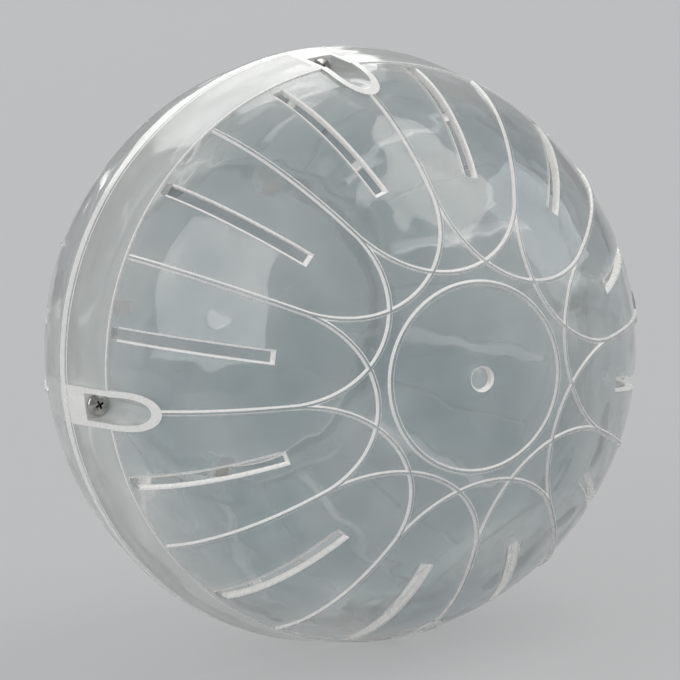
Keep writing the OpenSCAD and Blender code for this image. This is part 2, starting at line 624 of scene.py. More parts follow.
def round_edges(piece: Object, radius: float, steps: int = 2, angle: float = 35) -> None:
    """Rounds a piece's sharp edges.

    Args:
        piece: The piece.
        radius: Radius of the rounding.
        steps: Steps of the rounding.
        angle: Least angle of an edge that is rounded, in degrees.
    """
    apply_modifier(
        piece,
        "BEVEL",
        width=radius,
        segments=steps,
        limit_method="ANGLE",
        angle_limit=math.radians(angle),
        use_clamp_overlap=True,
    )


def lay_on_dome(piece: Object, radius: float) -> None:
    """Bends a relief that was modelled flat on to a dome, straight along the pole axis.

    Args:
        piece: The relief. Its heights are measured from the dome's surface.
        radius: Radius of the dome.
    """
    for vertex in piece.data.vertices:
        x, y, height = vertex.co
        vertex.co.z = on_sphere(radius + height, math.hypot(x, y))
    piece.data.update()


def paint(piece: Object, materials: Sequence[Material], rule: Rule) -> None:
    """Gives a piece its materials, and each face its finish by its place.

    Args:
        piece: The piece.
        materials: Its materials, in the order of the finishes.
        rule: Gives the finish from a face's centre and normal, in the pole frame.
    """
    # Booleans leave an empty slot
    piece.data.materials.clear()
    for material in materials:
        piece.data.materials.append(material)
    for face in piece.data.polygons:
        face.material_index = rule(face.center, face.normal).value


def settle(piece: Object, pole: Pole, spheres: Sequence[float]) -> None:
    """Turns a dome to its place and gives it true normals.

    Faces of a sphere take the sphere's own normals, so that what is cut into them leaves no mark on
    their shine.

    Args:
        piece: The piece, in its pole frame.
        pole: Where the pole frame goes.
        spheres: Radii of the spheres that its surfaces lie on.
    """
    piece.data.transform(pole.value.to_4x4())
    activate(piece)
    bpy.ops.object.mode_set(mode="EDIT")
    bpy.ops.mesh.select_all(action="SELECT")
    bpy.ops.mesh.normals_make_consistent(inside=False)
    bpy.ops.object.mode_set(mode="OBJECT")
    bpy.ops.object.shade_smooth_by_angle(angle=SMOOTH_ANGLE)
    mesh = piece.data
    normals = [corner.vector.copy() for corner in mesh.corner_normals]
    for face in mesh.polygons:
        outward = face.center.normalized()
        lean = face.normal.dot(outward)
        if abs(lean) < SPHERE_LEAN:
            continue
        places = [mesh.vertices[i].co for i in face.vertices]
        if any(all(abs(p.length - r) < ON_SURFACE for p in places) for r in spheres):
            for corner, place in zip(face.loop_indices, places):
                normals[corner] = place.normalized() * math.copysign(1, lean)
    mesh.normals_split_custom_set(normals)


@dataclass
class Relief:
    """Ribs that stand on a dome, with rounded crowns and feet that run out into the wall."""

    sizes: BallSizes
    corner_r: float = 0.38 * MM
    corner_steps: int = 4
    foot_w: float = 0.12 * MM
    foot_h: float = 0.1 * MM
    arch_steps: int = 48

    def section(self, width: float) -> list[Point]:
        """Cross-section of a rib, across it and up from the dome.

        Args:
            width: Width of the rib.

        Returns:
            The section's corners.
        """
        half = width / 2
        foot = -self.sizes.rib_root
        top = self.sizes.rib_h
        right = rounded((half, top), (half, foot), (-half, top), self.corner_r, self.corner_steps)
        right = [(half + self.foot_w, foot), (half + self.foot_w, 0), (half, self.foot_h), *right]
        return mirrored(right)

    def ribs(self, start_r: float, radius: float) -> Object:
        """Straight ribs from a distance off the axis down to the band.

        Args:
            start_r: Distance of their upper ends from the pole axis.
            radius: Radius of the dome.

        Returns:
            The ring of ribs.
        """
        sizes = self.sizes
        start = math.asin(start_r / radius)
        end = math.asin(sizes.band_edge_r / (radius + sizes.rib_h))
        section = [(across, radius + up) for across, up in self.section(sizes.rib_w)]
        rib = sweep_down("ribs", section, start, end, sizes.step)
        return around(rib, [i * sizes.pitch for i in range(sizes.sectors)])

    def arches(self, radius: float, first: int, every: int) -> Object:
        """Petal arches, each between two ribs that are two apart.

        Args:
            radius: Radius of the dome.
            first: Number of the first arch.
            every: Arches from one to the next. Neighbours cross, so they come in sets.

        Returns:
            The set of arches, on the dome.
        """
        sizes = self.sizes
        bend_r = sizes.arch_centre_r * math.sin(sizes.pitch)
        reach = math.pi / 2 - sizes.pitch
        centre = Vector((sizes.arch_centre_r, 0, 0))
        # The sweep runs round the arch's own centre, through the side towards the pole
        start = math.pi - reach
        along, aside = math.cos(start), math.sin(start)
        outline = [
            centre + Vector((along * (bend_r + across), aside * (bend_r + across), up))
            for across, up in self.section(sizes.arch_w)
        ]
        arch = sweep("arches", outline, 2 * reach, self.arch_steps, centre, Vector((0, 0, 1)))
        lay_on_dome(arch, radius)
        return around(arch, [i * sizes.pitch for i in range(first, sizes.sectors, every)])

    def ring(self, radius: float) -> Object:
        """The ring rib round the pole, on the dome.

        Args:
            radius: Radius of the dome.

        Returns:
            The ring.
        """
        sizes = self.sizes
        profile = [(sizes.ring_r + across, up) for across, up in self.section(sizes.rib_w)]
        ring = lathe("ring", profile, sizes.turn_steps)
        lay_on_dome(ring, radius)
        return ring


@dataclass
class AirSlots:
    """Cutters for the slots, with mouths that widen at both sides of the wall."""

    sizes: BallSizes
    mouth_w: float = 0.42 * MM
    mouth_h: float = 0.24 * MM
    flare: float = 0.18 * MM
    over: float = 0.6 * MM

    def cutter(self) -> Object:
        """The ring of cutters, midway between the ribs.

        Returns:
            The cutters, in one mesh.
        """
        sizes = self.sizes
        half = sizes.slot_w / 2
        skin, lining = sizes.shell_r, sizes.inner_r
        spread = self.mouth_w * (1 + self.over / self.mouth_h)
        up = [
            (half + self.flare + self.over, lining - self.over),
            (half, lining + self.flare),
            (half, skin - self.mouth_h),
            (half + spread, skin + self.over),
        ]
        start = math.asin((sizes.slot_in_r - 2 * sizes.slot_w) / skin)
        end = math.pi / 2 - sizes.step
        cutter = sweep_down("slots", mirrored(up), start, end, sizes.step)
        out_r = on_sphere(skin, sizes.band_h) - sizes.slot_end_wall
        low = Vector((sizes.slot_in_r, -2 * sizes.slot_w, sizes.band_h))
        high = Vector((out_r, 2 * sizes.slot_w, 2 * skin))
        combine(cutter, block("slot_length", low, high), Join.KEEP)
        return around(cutter, [(i + 0.5) * sizes.pitch for i in range(sizes.sectors)])


def near_screw(sizes: BallSizes, place: Vector, reach: float) -> bool:
    """Says whether a place is within reach of a screw's axis or straight outside it.

    Args:
        sizes: Sizes of the ball.
        place: The place, in the pole frame.
        reach: The distance.

    Returns:
        Whether it is.
    """
    quarter = math.tau / sizes.screws
    turn = round(math.atan2(place.y, place.x) / quarter) * quarter
    local = Matrix.Rotation(-turn, 2) @ place.xy
    inward = min(local.x - sizes.screw_ring_r, 0)
    return math.hypot(inward, local.y) < reach


def lean_of(place: Vector, normal: Vector) -> float:
    """Cosine of the angle between a face's normal and the sphere's at its centre."""
    return abs(normal.dot(place.normalized()))


def in_mouth(sizes: BallSizes, place: Vector, lean: float) -> bool:
    """Says whether a face belongs to the pole hole or its mouth."""
    return math.hypot(place.x, place.y) < sizes.mouth_r and lean < MOUTH_LEAN


def on_slot_or_rib(sizes: BallSizes, place: Vector, lean: float) -> bool:
    """Says whether a face belongs to a slot's side or to a relief.

    Args:
        sizes: Sizes of the ball.
        place: The face's centre, in the pole frame.
        lean: How far its normal follows the sphere's, as a cosine.

    Returns:
        Whether it is one of them.
    """
    turn = (math.floor(math.atan2(place.y, place.x) / sizes.pitch) + 0.5) * sizes.pitch
    local = Matrix.Rotation(-turn, 2) @ place.xy
    across = abs(local.y) < sizes.slot_w / 2 + NEAR_SLOT
    along = local.x > sizes.slot_in_r - NEAR_SLOT and place.z > sizes.band_h - NEAR_SLOT
    raised = place.length > sizes.shell_r + ON_SURFACE and lean < RIB_LEAN
    return (across and along and lean < SIDE_LEAN) or raised


def boss_ring(sizes: BallSizes, form: Sequence[Point], low: float, high: float) -> Object:
    """Makes a solid boss at each screw.

    Args:
        sizes: Sizes of the ball.
        form: Cross-section of the ring that the bosses are cut out of.
        low: Height of their lower end.
        high: Height of their upper end.

    Returns:
        The bosses.
    """
    bosses = lathe("bosses", form, sizes.turn_steps)
    shape = channel("form", sizes.pocket_out_r, low, high, sizes.screw_ring_r, 2 * sizes.shell_r)
    combine(bosses, around(shape, sizes.screw_turns), Join.KEEP)
    return bosses


@dataclass
class FrontDome:
    """The front half: lip, band, ribs, arches, slots and the pockets over the screws."""

    sizes: BallSizes
    lip_round: float = 0.25 * MM
    edge_h: float = 0.4 * MM
    # The lip takes a painted highlight next to the seam, with a clear line and then a thin painted
    # highlight line above it
    lap_highlight: float = 2.2 * MM
    lap_line: float = 0.55 * MM
    lap_end: float = 0.85 * MM
    lap_steps: int = 7
    # Neighbouring arches cross, so they are added in sets
    arch_sets: int = 3
    # Height over the dome from which a face by a pocket is its crown
    crown_h: float = 0.3 * MM
    bore_gap: float = 0.2 * MM
    # How far under the band's surface a face still counts as its skin
    skin_t: float = 0.06 * MM

    def profile(self) -> list[Point]:
        """Cross-section of the bare dome, from the pole hole round to it again.

        Returns:
            Its corners, as distance from the axis and height.
        """
        sizes = self.sizes
        skin, lining = sizes.shell_r, sizes.inner_r
        lip_in = sizes.lip_r - sizes.lip_t
        rise = sizes.band_h - self.lap_end
        heights = [
            sizes.band_h - self.edge_h,
            *(self.lap_end + rise * i / self.lap_steps for i in range(self.lap_steps - 1, -1, -1)),
            self.lap_line,
        ]
        band = [(sizes.band_at(height), height) for height in heights]
        low = -sizes.lip_lap
        lip = [
            (sizes.lip_r, 0),
            (sizes.lip_r, -self.lap_highlight),
            *rounded((sizes.lip_r, low), (sizes.lip_r, 0), (0, low), self.lip_round),
            *rounded((lip_in, low), (sizes.lip_r, low), (lip_in, 0), self.lip_round),
            (lip_in, 0),
        ]
        band_turn = math.acos(sizes.band_h / skin)
        outside = arc(skin, math.asin(sizes.mouth_r / skin), band_turn, sizes.step)
        inside = arc(lining, math.pi / 2, math.asin(sizes.hole_r / lining), sizes.step)
        return [*outside, *sizes.band_top, *band, *lip, *inside, sizes.mouth_foot]

    def bosses(self) -> Object:
        """Solid bosses for the screws and their pockets, just inside the dome's outer form.

        Returns:
            The bosses, in one mesh.
        """
        sizes = self.sizes
        inset = sizes.boss_inset
        crown = sizes.shell_r + sizes.rib_h
        top = math.acos(sizes.band_h / crown)
        form = [
            (sizes.hub_r, inset),
            (sizes.lip_r - inset, inset),
            (sizes.band_edge_r - inset, sizes.band_h),
            *arc(crown, top, math.asin(sizes.hub_r / crown), sizes.step),
        ]
        return boss_ring(sizes, form, -2 * sizes.shell_r, 2 * sizes.shell_r)

    def build(self) -> Object:
        """Models the dome in its pole frame.

        Returns:
            The dome, in one closed mesh.
        """
        sizes = self.sizes
        relief = Relief(sizes)
        dome = lathe("front_dome", self.profile(), sizes.turn_steps)
        far = 2 * sizes.shell_r
        touch_r = sizes.arch_centre_r * math.cos(sizes.pitch)
        combine(dome, relief.ribs(touch_r - sizes.rib_lead, sizes.shell_r), Join.ADD)
        for first in range(self.arch_sets):
            combine(dome, relief.arches(sizes.shell_r, first, self.arch_sets), Join.ADD)
        combine(dome, relief.ring(sizes.shell_r), Join.ADD)
        combine(dome, AirSlots(sizes).cutter(), Join.CUT)
        combine(dome, self.bosses(), Join.ADD)
        pocket = channel("pocket", sizes.pocket_r, sizes.seat_h, far, sizes.screw_ring_r, far)
        combine(dome, around(pocket, sizes.screw_turns), Join.CUT)
        bore_r = sizes.thread_r + self.bore_gap
        bore = rod("bore", bore_r, -MM, sizes.seat_h + MM, sizes.screw_ring_r)
        combine(dome, around(bore, sizes.screw_turns), Join.CUT)
        return dome

    def pocket_finish(self, place: Vector, skin: bool) -> Look:
        """Finish of a face by a screw: a painted highlight at the pocket's rim, and white on the
        solid boss under it.

        Args:
            place: The face's centre.
            skin: Whether the face is on the band's outer side.

        Returns:
            The finish.
        """
        sizes = self.sizes
        # The seat, the solid boss under it and the band's skin over it are whitened, and the
        # pocket's crown takes a painted highlight
        floor = place.z < sizes.seat_h + NEAR
        if floor or skin or place.length > sizes.shell_r + self.crown_h:
            return Look.EDGE
        return Look.MILKY if near_screw(sizes, place, sizes.pocket_r + NEAR) else Look.CLEAR

    def finish_of(self, place: Vector, normal: Vector) -> Look:
        """Finish of a face of the dome, from its centre and normal.

        Args:
            place: The face's centre, in the pole frame.
            normal: The face's normal.

        Returns:
            The finish.
        """
        sizes = self.sizes
        lean = lean_of(place, normal)
        band_r = sizes.band_at(max(place.z, 0)) - self.skin_t
        skin = place.z < sizes.band_h and math.hypot(place.x, place.y) > band_r
        # The lip's skin takes a painted highlight next to the seam and above the clear line
        if skin and place.z < self.lap_end:
            white = -self.lap_highlight < place.z < 0 or place.z > self.lap_line
            return Look.EDGE if white else Look.CLEAR
        if near_screw(sizes, place, sizes.pocket_out_r + NEAR):
            return self.pocket_finish(place, skin)
        outer = place.length > sizes.inner_r + NEAR_WALL
        if place.z < sizes.band_h - self.edge_h:
            return Look.MILKY if outer else Look.CLEAR
        # The band's top, the sides of slots and relief and the pole hole's mouth take a painted
        # highlight
        band_top = outer and place.z < sizes.band_h + NEAR_BAND
        if band_top or on_slot_or_rib(sizes, place, lean) or in_mouth(sizes, place, lean):
            return Look.EDGE
        return Look.CLEAR


@dataclass
class RearDome:
    """The rear half: spigot, band, ribs, slots, screw bosses and the seat of the door."""

    sizes: BallSizes
    lug_w: float = 3.0 * MM
    lug_t: float = 1.3 * MM
    lug_reach: float = 2.4 * MM
    lugs: int = 4
    lug_turn: float = math.radians(18)
    boss_floor: float = 1.6 * MM
    soft_r: float = 0.25 * MM
    band_steps: int = 6
    pilot_gap: float = 0.05 * MM

    @property
    def collar_r(self) -> float:
        """Outer radius of the collar that carries the ledge."""
        return self.sizes.seat_r + self.sizes.ledge_t

    @property
    def lug_out_r(self) -> float:
        """Distance of a lug's stem from the pole axis, at its outer side."""
        return self.sizes.opening_r - self.sizes.door_gap

    @property
    def foot_r(self) -> float:
        """Distance of a lug's foot from the pole axis, at its tip."""
        return self.lug_out_r + self.lug_reach

    @property
    def foot_top(self) -> float:
        """Height of the upper side of a lug's foot, just under the ledge."""
        return on_sphere(self.sizes.ledge_in_r, self.foot_r) - self.sizes.door_gap

    def lug_angles(self) -> list[float]:
        """Angles of the lugs round the pole axis."""
        return [math.pi / 2 - self.lug_turn + i * math.tau / self.lugs for i in range(self.lugs)]

    def profile(self) -> list[Point]:
        """Cross-section of the bare dome, from the door's seat round to it again.

        Returns:
            Its corners, as distance from the axis and height.
        """
        sizes = self.sizes
        skin, lining = sizes.shell_r, sizes.inner_r
        seat, out_r, in_r = sizes.seat_r, sizes.ledge_out_r, sizes.ledge_in_r
        shoulder, spigot = sizes.shoulder, sizes.spigot_r
        seat_top = (seat, on_sphere(skin, seat))
        outside = arc(skin, math.asin(seat / skin), math.acos(sizes.band_h / skin), sizes.step)
        rise = sizes.band_h - shoulder
        heights = [shoulder + rise * i / self.band_steps for i in range(self.band_steps - 1, 0, -1)]
        band = [(sizes.band_at(h), h) for h in heights]
        edge = (sizes.band_at(shoulder), shoulder)
        foot = [
            *rounded(edge, (sizes.band_edge_r, sizes.band_h), (0, shoulder), 0.5 * self.soft_r),
            (spigot, shoulder),
            *rounded((spigot, 0), (spigot, shoulder), (0, 0), self.soft_r),
        ]
        inside = arc(lining, math.pi / 2, math.asin(self.collar_r / lining), sizes.step)
        opening = sizes.opening_r
        under = arc(in_r, math.asin(self.collar_r / in_r), math.asin(opening / in_r), sizes.step)
        over = arc(out_r, math.asin(opening / out_r), math.asin(seat / out_r), sizes.step)
        lower = rounded(under[-1], under[-2], over[0], self.soft_r)
        upper = rounded(over[0], under[-1], over[1], self.soft_r)
        rim = rounded(seat_top, over[-1], outside[1], self.soft_r)
        outer = [*rim, *outside[1:], *sizes.band_top, *band, *foot]
        return [*outer, *inside, *under[:-1], *lower, *upper, *over[1:]]

    def bosses(self) -> Object:
        """Screw bosses inside the spigot and the band.

        Returns:
            The bosses, in one mesh.
        """
        sizes = self.sizes
        inset = sizes.boss_inset
        form = [
            (sizes.hub_r, inset),
            (sizes.spigot_r - inset, inset),
            (sizes.spigot_r - inset, sizes.shoulder),
            (sizes.band_at(sizes.shoulder) - inset, sizes.shoulder),
            (sizes.band_edge_r - inset, sizes.band_h),
            (sizes.hub_r, sizes.band_h),
        ]
        return boss_ring(sizes, form, -MM, sizes.screw_l - sizes.seat_h + self.boss_floor)

    def build(self) -> Object:
        """Models the dome in its pole frame.

        Returns:
            The dome, in one closed mesh.
        """
        sizes = self.sizes
        dome = lathe("rear_dome", self.profile(), sizes.turn_steps)
        combine(dome, self.bosses(), Join.ADD)
        combine(dome, Relief(sizes).ribs(self.collar_r - sizes.rib_root, sizes.shell_r), Join.ADD)
        combine(dome, AirSlots(sizes).cutter(), Join.CUT)
        gap = 2 * sizes.door_gap
        half = self.lug_w / 2 + gap
        low = Vector((self.lug_out_r - self.lug_t, -half, self.foot_top - self.lug_t))
        high = Vector((self.foot_r + gap, half, 2 * sizes.shell_r))
        notch = block("notch", low, high)
        combine(dome, around(notch, self.lug_angles()), Join.CUT)
        depth = sizes.screw_l - sizes.seat_h + sizes.rib_root
        bore_r = sizes.thread_r + self.pilot_gap
        bore = rod("pilot", bore_r, -MM, depth, sizes.screw_ring_r)
        combine(dome, around(bore, sizes.screw_turns), Join.CUT)
        return dome

    def finish_of(self, place: Vector, normal: Vector) -> Look:
        """Finish of a face of the dome, from its centre and normal.

        Args:
            place: The face's centre, in the pole frame.
            normal: The face's normal.

        Returns:
            The finish.
        """
        sizes = self.sizes
        lean = lean_of(place, normal)
        if near_screw(sizes, place, sizes.pocket_out_r + NEAR) and place.z < sizes.band_h:
            return Look.MILKY
        # The door's seat and the sides of slots and ribs take a painted highlight
        seat = math.hypot(place.x, place.y) < self.collar_r + NEAR and lean < SIDE_LEAN
        return Look.EDGE if seat or on_slot_or_rib(sizes, place, lean) else Look.CLEAR


@dataclass
class Door:
    """The round door: a cap with a rounded rim, four lugs under it and a pole hole."""

    sizes: BallSizes
    rear: RearDome
    rim_r: float = 0.4 * MM
    lug_round: float = 0.2 * MM
    mark_r: float = 1.05 * MM
    mark_h: float = 0.2 * MM
    mark_sides: int = 48
    # The turn of each round mark from +X and its angle from the pole, in degrees
    marks: tuple[Point, ...] = ((15, 16.9), (-141, 14.4))

    def profile(self) -> list[Point]:
        """Cross-section of the cap, from the pole hole round to it again.

        Returns:
            Its corners, as distance from the axis and height.
        """
        sizes = self.sizes
        skin, lining, door_r = sizes.shell_r, sizes.inner_r, sizes.door_r
        outside = arc(skin, math.asin(sizes.mouth_r / skin), math.asin(door_r / skin), sizes.step)
        hole = math.asin(sizes.hole_r / lining)
        inside = arc(lining, math.asin(door_r / lining), hole, sizes.step)
        rim = [
            *rounded(outside[-1], outside[-2], inside[0], self.rim_r),
            *rounded(inside[0], outside[-1], inside[1], self.rim_r / 2),
        ]
        return [*outside[:-1], *rim, *inside[1:], sizes.mouth_foot]

    def lug(self) -> Object:
        """One lug: a stem inside the opening, and a foot that reaches out under the ledge.

        Returns:
            The lug, on the side of +X.
        """
        rear = self.rear
        stem_in = rear.lug_out_r - rear.lug_t
        base = rear.foot_top - rear.lug_t
        head = on_sphere(self.sizes.inner_r, rear.lug_out_r) + self.sizes.rib_root
        half = rear.lug_w / 2
        outline = [
            (stem_in, base),
            (rear.foot_r, base),
            (rear.foot_r, rear.foot_top),
            (rear.lug_out_r, rear.foot_top),
            (rear.lug_out_r, head),
            (stem_in, head),
        ]
        piece = prism("lug", [Vector((r, -half, z)) for r, z in outline], Vector((0, 2 * half, 0)))
        round_edges(piece, self.lug_round)
        return piece

    def build(self) -> Object:
        """Models the door in the rear pole frame.

        Returns:
            The door, in one closed mesh.
        """
        sizes = self.sizes
        door = lathe("door_cap", self.profile(), sizes.turn_steps)
        combine(door, around(self.lug(), self.rear.lug_angles()), Join.ADD)
        for turn, polar in self.marks:
            low, high = sizes.inner_r - self.mark_h, sizes.inner_r + sizes.wall / 2
            mark = rod("mark", self.mark_r, low, high, sides=self.mark_sides)
            mark.data.transform(turn_by(turn) @ turn_by(polar, "Y"))
            combine(door, mark, Join.ADD)
        return door

    def finish_of(self, place: Vector, normal: Vector) -> Look:
        """Finish of a face of the door, from its centre and normal.

        Args:
            place: The face's centre, in the pole frame.
            normal: The face's normal.

        Returns:
            The finish.
        """
        sizes = self.sizes
        lean = lean_of(place, normal)
        # Inside, the sides of the lugs and marks take a painted highlight, and so do the rim and
        # the pole hole's mouth outside
        if place.length < sizes.inner_r - NEAR:
            return Look.EDGE if lean < SIDE_LEAN else Look.MILKY
        rim = math.hypot(place.x, place.y) > sizes.door_r - self.rim_r and lean < RIM_LEAN
        return Look.EDGE if rim or in_mouth(sizes, place, lean) else Look.CLEAR


@dataclass
class PanScrew:
    """A self-tapping pan head screw with a cross recess and a helical thread."""

    sizes: BallSizes
    head_r: float = 2.1 * MM
    head_side: float = 0.6 * MM
    head_h: float = 1.4 * MM
    thread_pitch: float = 0.8 * MM
    thread_depth: float = 0.25 * MM
    point_l: float = 1.6 * MM
    cross_w: float = 0.6 * MM
    cross_l: float = 2.5 * MM
    cross_depth: float = 0.9 * MM
    head_round: float = 0.15 * MM
    rim_round: float = 0.1 * MM
    edge_round: float = 0.05 * MM
    # Least angle of an edge that is rounded, in degrees
    edge_angle: float = 50
    # Half height of a ridge's foot as a share of the pitch, and of its crest as one of the foot
    foot_share: float = 0.4
    crest_share: float = 0.1
    # Radius at which the thread starts in the core, and that of the point, as shares of the core
    sunk_share: float = 0.8
    tip_share: float = 0.1
    # Width of the recess at its floor, as a share of its width at the top
    floor_share: float = 0.55
    # A face is one of the recess's walls where its normal rises less than this
    wall_rise: float = 0.5
    crown_steps: int = 8
    sides: int = 48

    def profile(self) -> list[Point]:
        """Cross-section of the blank, on and beside its axis.

        Returns:
            Its corners, as distance from the axis and height.
        """
        rise = self.head_h - self.head_side
        dome_r = (self.head_r**2 + rise**2) / (2 * rise)
        top = math.asin(self.head_r / dome_r)
        core = self.sizes.thread_r - self.thread_depth
        dome = arc(dome_r, 0, top, top / self.crown_steps)
        crown = [(r, z + self.head_h - dome_r) for r, z in dome]
        side, rim = (self.head_r, self.head_side), (self.head_r, 0)
        tip = -self.sizes.screw_l
        return [
            *crown[:-1],
            *rounded(side, crown[-2], rim, self.head_round),
            *rounded(rim, side, (0, 0), self.rim_round),
            *rounded((core, 0), rim, (core, tip), self.head_round),
            (core, tip + self.point_l),
            (self.tip_share * core, tip),
            (0, tip),
        ]

    def thread(self) -> Object:
        """The thread, wound round the core from under the head to the point.

        Returns:
            The thread, in one closed mesh.
        """
        core = self.sizes.thread_r - self.thread_depth
        turns = int((self.sizes.screw_l - self.point_l) / self.thread_pitch) - 1
        foot = self.thread_pitch * self.foot_share
        start = -self.thread_pitch * (turns + 1.5)
        lower = [
            (self.sunk_share * core, -foot),
            (core, -foot),
            (self.sizes.thread_r, -self.crest_share * foot),
        ]
        outline = [*lower, *((r, -z) for r, z in reversed(lower))]
        thread = draw_outline("thread", [Vector((r, 0, start + z)) for r, z in outline])
        bpy.ops.object.mode_set(mode="OBJECT")
        apply_modifier(
            thread,
            "SCREW",
            screw_offset=self.thread_pitch,
            iterations=turns,
            steps=self.sides // 2,
            render_steps=self.sides // 2,
            use_merge_vertices=False,
        )
        bpy.ops.object.mode_set(mode="EDIT")
        bpy.ops.mesh.select_all(action="SELECT")
        bpy.ops.mesh.remove_doubles(threshold=WELD)
        bpy.ops.mesh.select_all(action="DESELECT")
        bpy.ops.mesh.select_non_manifold()
        bpy.ops.mesh.fill_holes(sides=len(outline))
        tidy_mesh()
        return thread

    def cross(self) -> Object:
        """Cutter for the cross recess, narrower at its floor.

        Returns:
            The cutter.
        """
        low = self.head_h - self.cross_depth
        arms = []
        for length, width in ((self.cross_l, self.cross_w), (self.cross_w, self.cross_l)):
            near = Vector((-length / 2, -width / 2, low))
            arm = block("cross", near, Vector((length / 2, width / 2, 2 * self.head_h)))
            for vertex in arm.data.vertices:
                if vertex.co.z < self.head_h:
                    vertex.co.xy *= self.floor_share
            arms.append(arm)
        combine(arms[0], arms[1], Join.ADD)
        return arms[0]

    def build(self) -> Object:
        """Models the screw on its own axis, with its seat at height 0.

        Returns:
            The screw, in one closed mesh.
        """
        screw = lathe("pan_screw", self.profile(), self.sides)
        combine(screw, self.thread(), Join.ADD)
        combine(screw, self.cross(), Join.CUT)
        round_edges(screw, self.edge_round, 1, self.edge_angle)
        return screw

    def finish_of(self, place: Vector, normal: Vector) -> Metal:
        """Finish of a face of the screw, from its centre and normal.

        Args:
            place: The face's centre, on the screw's own axis.
            normal: The face's normal.

        Returns:
            The finish.
        """
        # Faces inside the cross recess take the near-black nickel, a painted shade
        height = place.z - (self.head_h - self.cross_depth)
        inside = height > -NEAR and place.xy.length < self.cross_l / 2
        deep = normal.z < self.wall_rise or height < NEAR_WALL
        return Metal.RECESS if inside and deep else Metal.PLATE


@dataclass
class ScrewSet:
    """The four screws, in their seats."""

    sizes: BallSizes
    metals: Sequence[Material]
    # Turn of each screw round the pole axis, and of its recess, in degrees
    turns: dict[str, Point] = field(
        default_factory=lambda: {
            "screw_left": (180, 20),
            "screw_top": (90, 65),
            "screw_right": (0, 40),
            "screw_bottom": (-90, 5),
        }
    )

    def build(self) -> dict[str, Object]:
        """Models one screw and seats a copy in each place.

        Returns:
            The screws, by the node that each one stands for.
        """
        maker = PanScrew(self.sizes)
        first = maker.build()
        paint(first, self.metals, maker.finish_of)
        seat = Matrix.Translation((self.sizes.screw_ring_r, 0, self.sizes.seat_h))
        screws = {}
        for node, (turn, recess) in self.turns.items():
            screw = copy_to(first, turn_by(turn) @ seat @ turn_by(recess))
            screw.name = screw.data.name = f"pan_{node}"
            settle(screw, Pole.FRONT, ())
            screws[node] = screw
        bpy.data.objects.remove(first)
        return screws


class Nodes:
    """Shader nodes of one material or group, added and joined in a line each."""

    def __init__(self, tree: NodeTree) -> None:
        """Starts from an empty tree.

        Args:
            tree: The tree that the nodes are added to.
        """
        self.tree = tree
        tree.nodes.clear()

    def add(self, kind: str, **values: object) -> Node:
        """Adds a node.

        Args:
            kind: Blender's name of the node's type.
            values: Its properties.

        Returns:
            The node.
        """
        node = self.tree.nodes.new(kind)
        set_all(node, values)
        return node

    def join(self, source: NodeSocket, target: NodeSocket) -> None:
        """Joins an output to an input."""
        self.tree.links.new(source, target)

    def noise(self, place: NodeSocket, scale: NodeSocket, detail: float) -> NodeSocket:
        """Adds noise over a place.

        Args:
            place: The coordinates.
            scale: Cells in a metre.
            detail: Octaves of finer noise.

        Returns:
            The noise's value.
        """
        node = self.add("ShaderNodeTexNoise")
        node.inputs["Detail"].default_value = detail
        self.join(place, node.inputs["Vector"])
        self.join(scale, node.inputs["Scale"])
        return node.outputs["Fac"]

    def finish(self, shader: NodeSocket) -> None:
        """Joins a shader to the material's output."""
        self.join(shader, self.add("ShaderNodeOutputMaterial").inputs["Surface"])

    def mix(self, share: NodeSocket, first: NodeSocket, second: NodeSocket) -> NodeSocket:
        """Mixes two shaders.

        Args:
            share: Share of the second.
            first: First shader.
            second: Second shader.

        Returns:
            The mixed shader.
        """
        node = self.add("ShaderNodeMixShader")
        for source, target in zip((share, first, second), node.inputs):
            self.join(source, target)
        return node.outputs[0]

    def span(
        self, value: NodeSocket, low: float, high: float, to_low: float, to_high: float
    ) -> NodeSocket:
        """Maps a value from one range to another.

        Args:
            value: The value.
            low: Start of its range.
            high: End of its range.
            to_low: What the start becomes.
            to_high: What the end becomes.

        Returns:
            The mapped value.
        """
        node = self.add("ShaderNodeMapRange")
        for name, number in zip(
            ("From Min", "From Max", "To Min", "To Max"), (low, high, to_low, to_high)
        ):
            node.inputs[name].default_value = number
        self.join(value, node.inputs["Value"])
        return node.outputs["Result"]

    def blend(
        self, share: NodeSocket, first: Sequence[float], second: Sequence[float]
    ) -> NodeSocket:
        """Mixes two colours.

        Args:
            share: Share of the second.
            first: First colour.
            second: Second colour.

        Returns:
            The mixed colour.
        """
        node = self.add("ShaderNodeMix", data_type="RGBA")
        # A Mix node lists its colour sockets after those of its other kinds
        node.inputs[6].default_value = (*first, 1)
        node.inputs[7].default_value = (*second, 1)
        self.join(share, node.inputs["Factor"])
        return node.outputs[2]


def set_inputs(node: Node, values: dict[str, object]) -> None:
    """Sets plain values of a node's inputs by their names."""
    for name, value in values.items():
        node.inputs[name].default_value = value


def new_material(name: str) -> tuple[Material, Nodes, Node]:
    """Starts a material.

    Args:
        name: Name of the material.

    Returns:
        The material, its nodes and the shader that does the most in it.
    """
    material = bpy.data.materials.new(name)
    material.use_nodes = True
    nodes = Nodes(material.node_tree)
    return material, nodes, nodes.add("ShaderNodeBsdfPrincipled")


def new_group(name: str, inputs: dict[str, float], outputs: dict[str, str]) -> NodeTree:
    """Starts a shader node group.

    Args:
        name: Name of the group.
        inputs: Its number inputs and their usual values.
        outputs: Its outputs and their kinds, such as Float or Color.

    Returns:
        The group's tree, with its sockets.
    """
    tree = bpy.data.node_groups.new(name, "ShaderNodeTree")
    for label, value in inputs.items():
        socket = tree.interface.new_socket(label, in_out="INPUT", socket_type="NodeSocketFloat")
        socket.default_value = value
    for label, kind in outputs.items():
        tree.interface.new_socket(label, in_out="OUTPUT", socket_type=f"NodeSocket{kind}")
    return tree


